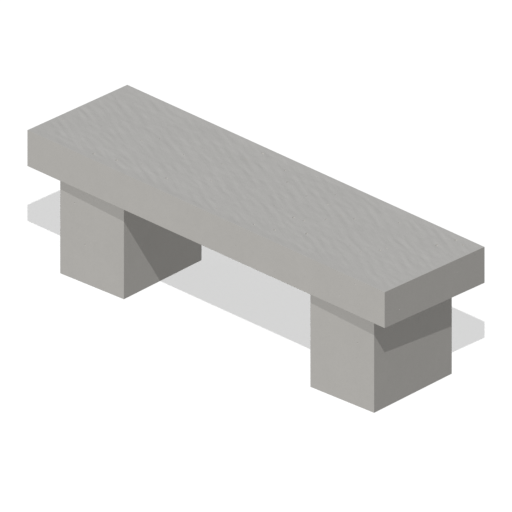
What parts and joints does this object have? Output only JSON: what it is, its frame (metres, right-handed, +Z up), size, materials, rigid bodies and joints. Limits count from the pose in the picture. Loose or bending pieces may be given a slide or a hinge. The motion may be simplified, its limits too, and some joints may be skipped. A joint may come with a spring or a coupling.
{
  "type": "backless bench",
  "caption": "Backless street bench of precast concrete: a thick rectangular seat slab bedded and dowelled on block supports, each turned slightly in plan.",
  "frame": {"origin": "on the ground, midway between the two supports and under the middle of the seat", "axes": "+X along the seat's length towards the right support, +Y from front to back, +Z up"},
  "size_m": [1.5, 0.42, 0.45],
  "materials": {
    "seat_concrete": "matte",
    "support_concrete": "matte",
    "ribbed_steel": "matte",
    "link_steel": "matte",
    "spacer_plastic": "matte",
    "galvanised_steel": "satin",
    "stainless_steel": "satin",
    "plug_plastic": "satin",
    "bedding_resin": "matte",
    "shim_plastic": "satin"
  },
  "bodies": {
    "root": {"seat_slab": "seat_concrete", "seat_lower_bars": "ribbed_steel", "seat_upper_bars": "ribbed_steel", "seat_links": "link_steel", "seat_wheel_spacers": "spacer_plastic", "seat_lifting_sockets": "galvanised_steel", "seat_socket_pins": "link_steel", "seat_socket_plugs": "plug_plastic", "left_support": "support_concrete", "left_upright_bars": "ribbed_steel", "left_support_links": "link_steel", "left_wheel_spacers": "spacer_plastic", "left_ground_sockets": "galvanised_steel", "left_socket_pins": "link_steel", "left_resin_bed": "bedding_resin", "left_dowels": "stainless_steel", "left_shims": "shim_plastic", "right_support": "support_concrete", "right_upright_bars": "ribbed_steel", "right_support_links": "link_steel", "right_wheel_spacers": "spacer_plastic", "right_ground_sockets": "galvanised_steel", "right_socket_pins": "link_steel", "right_resin_bed": "bedding_resin", "right_dowels": "stainless_steel", "right_shims": "shim_plastic"}
  },
  "joints": []
}
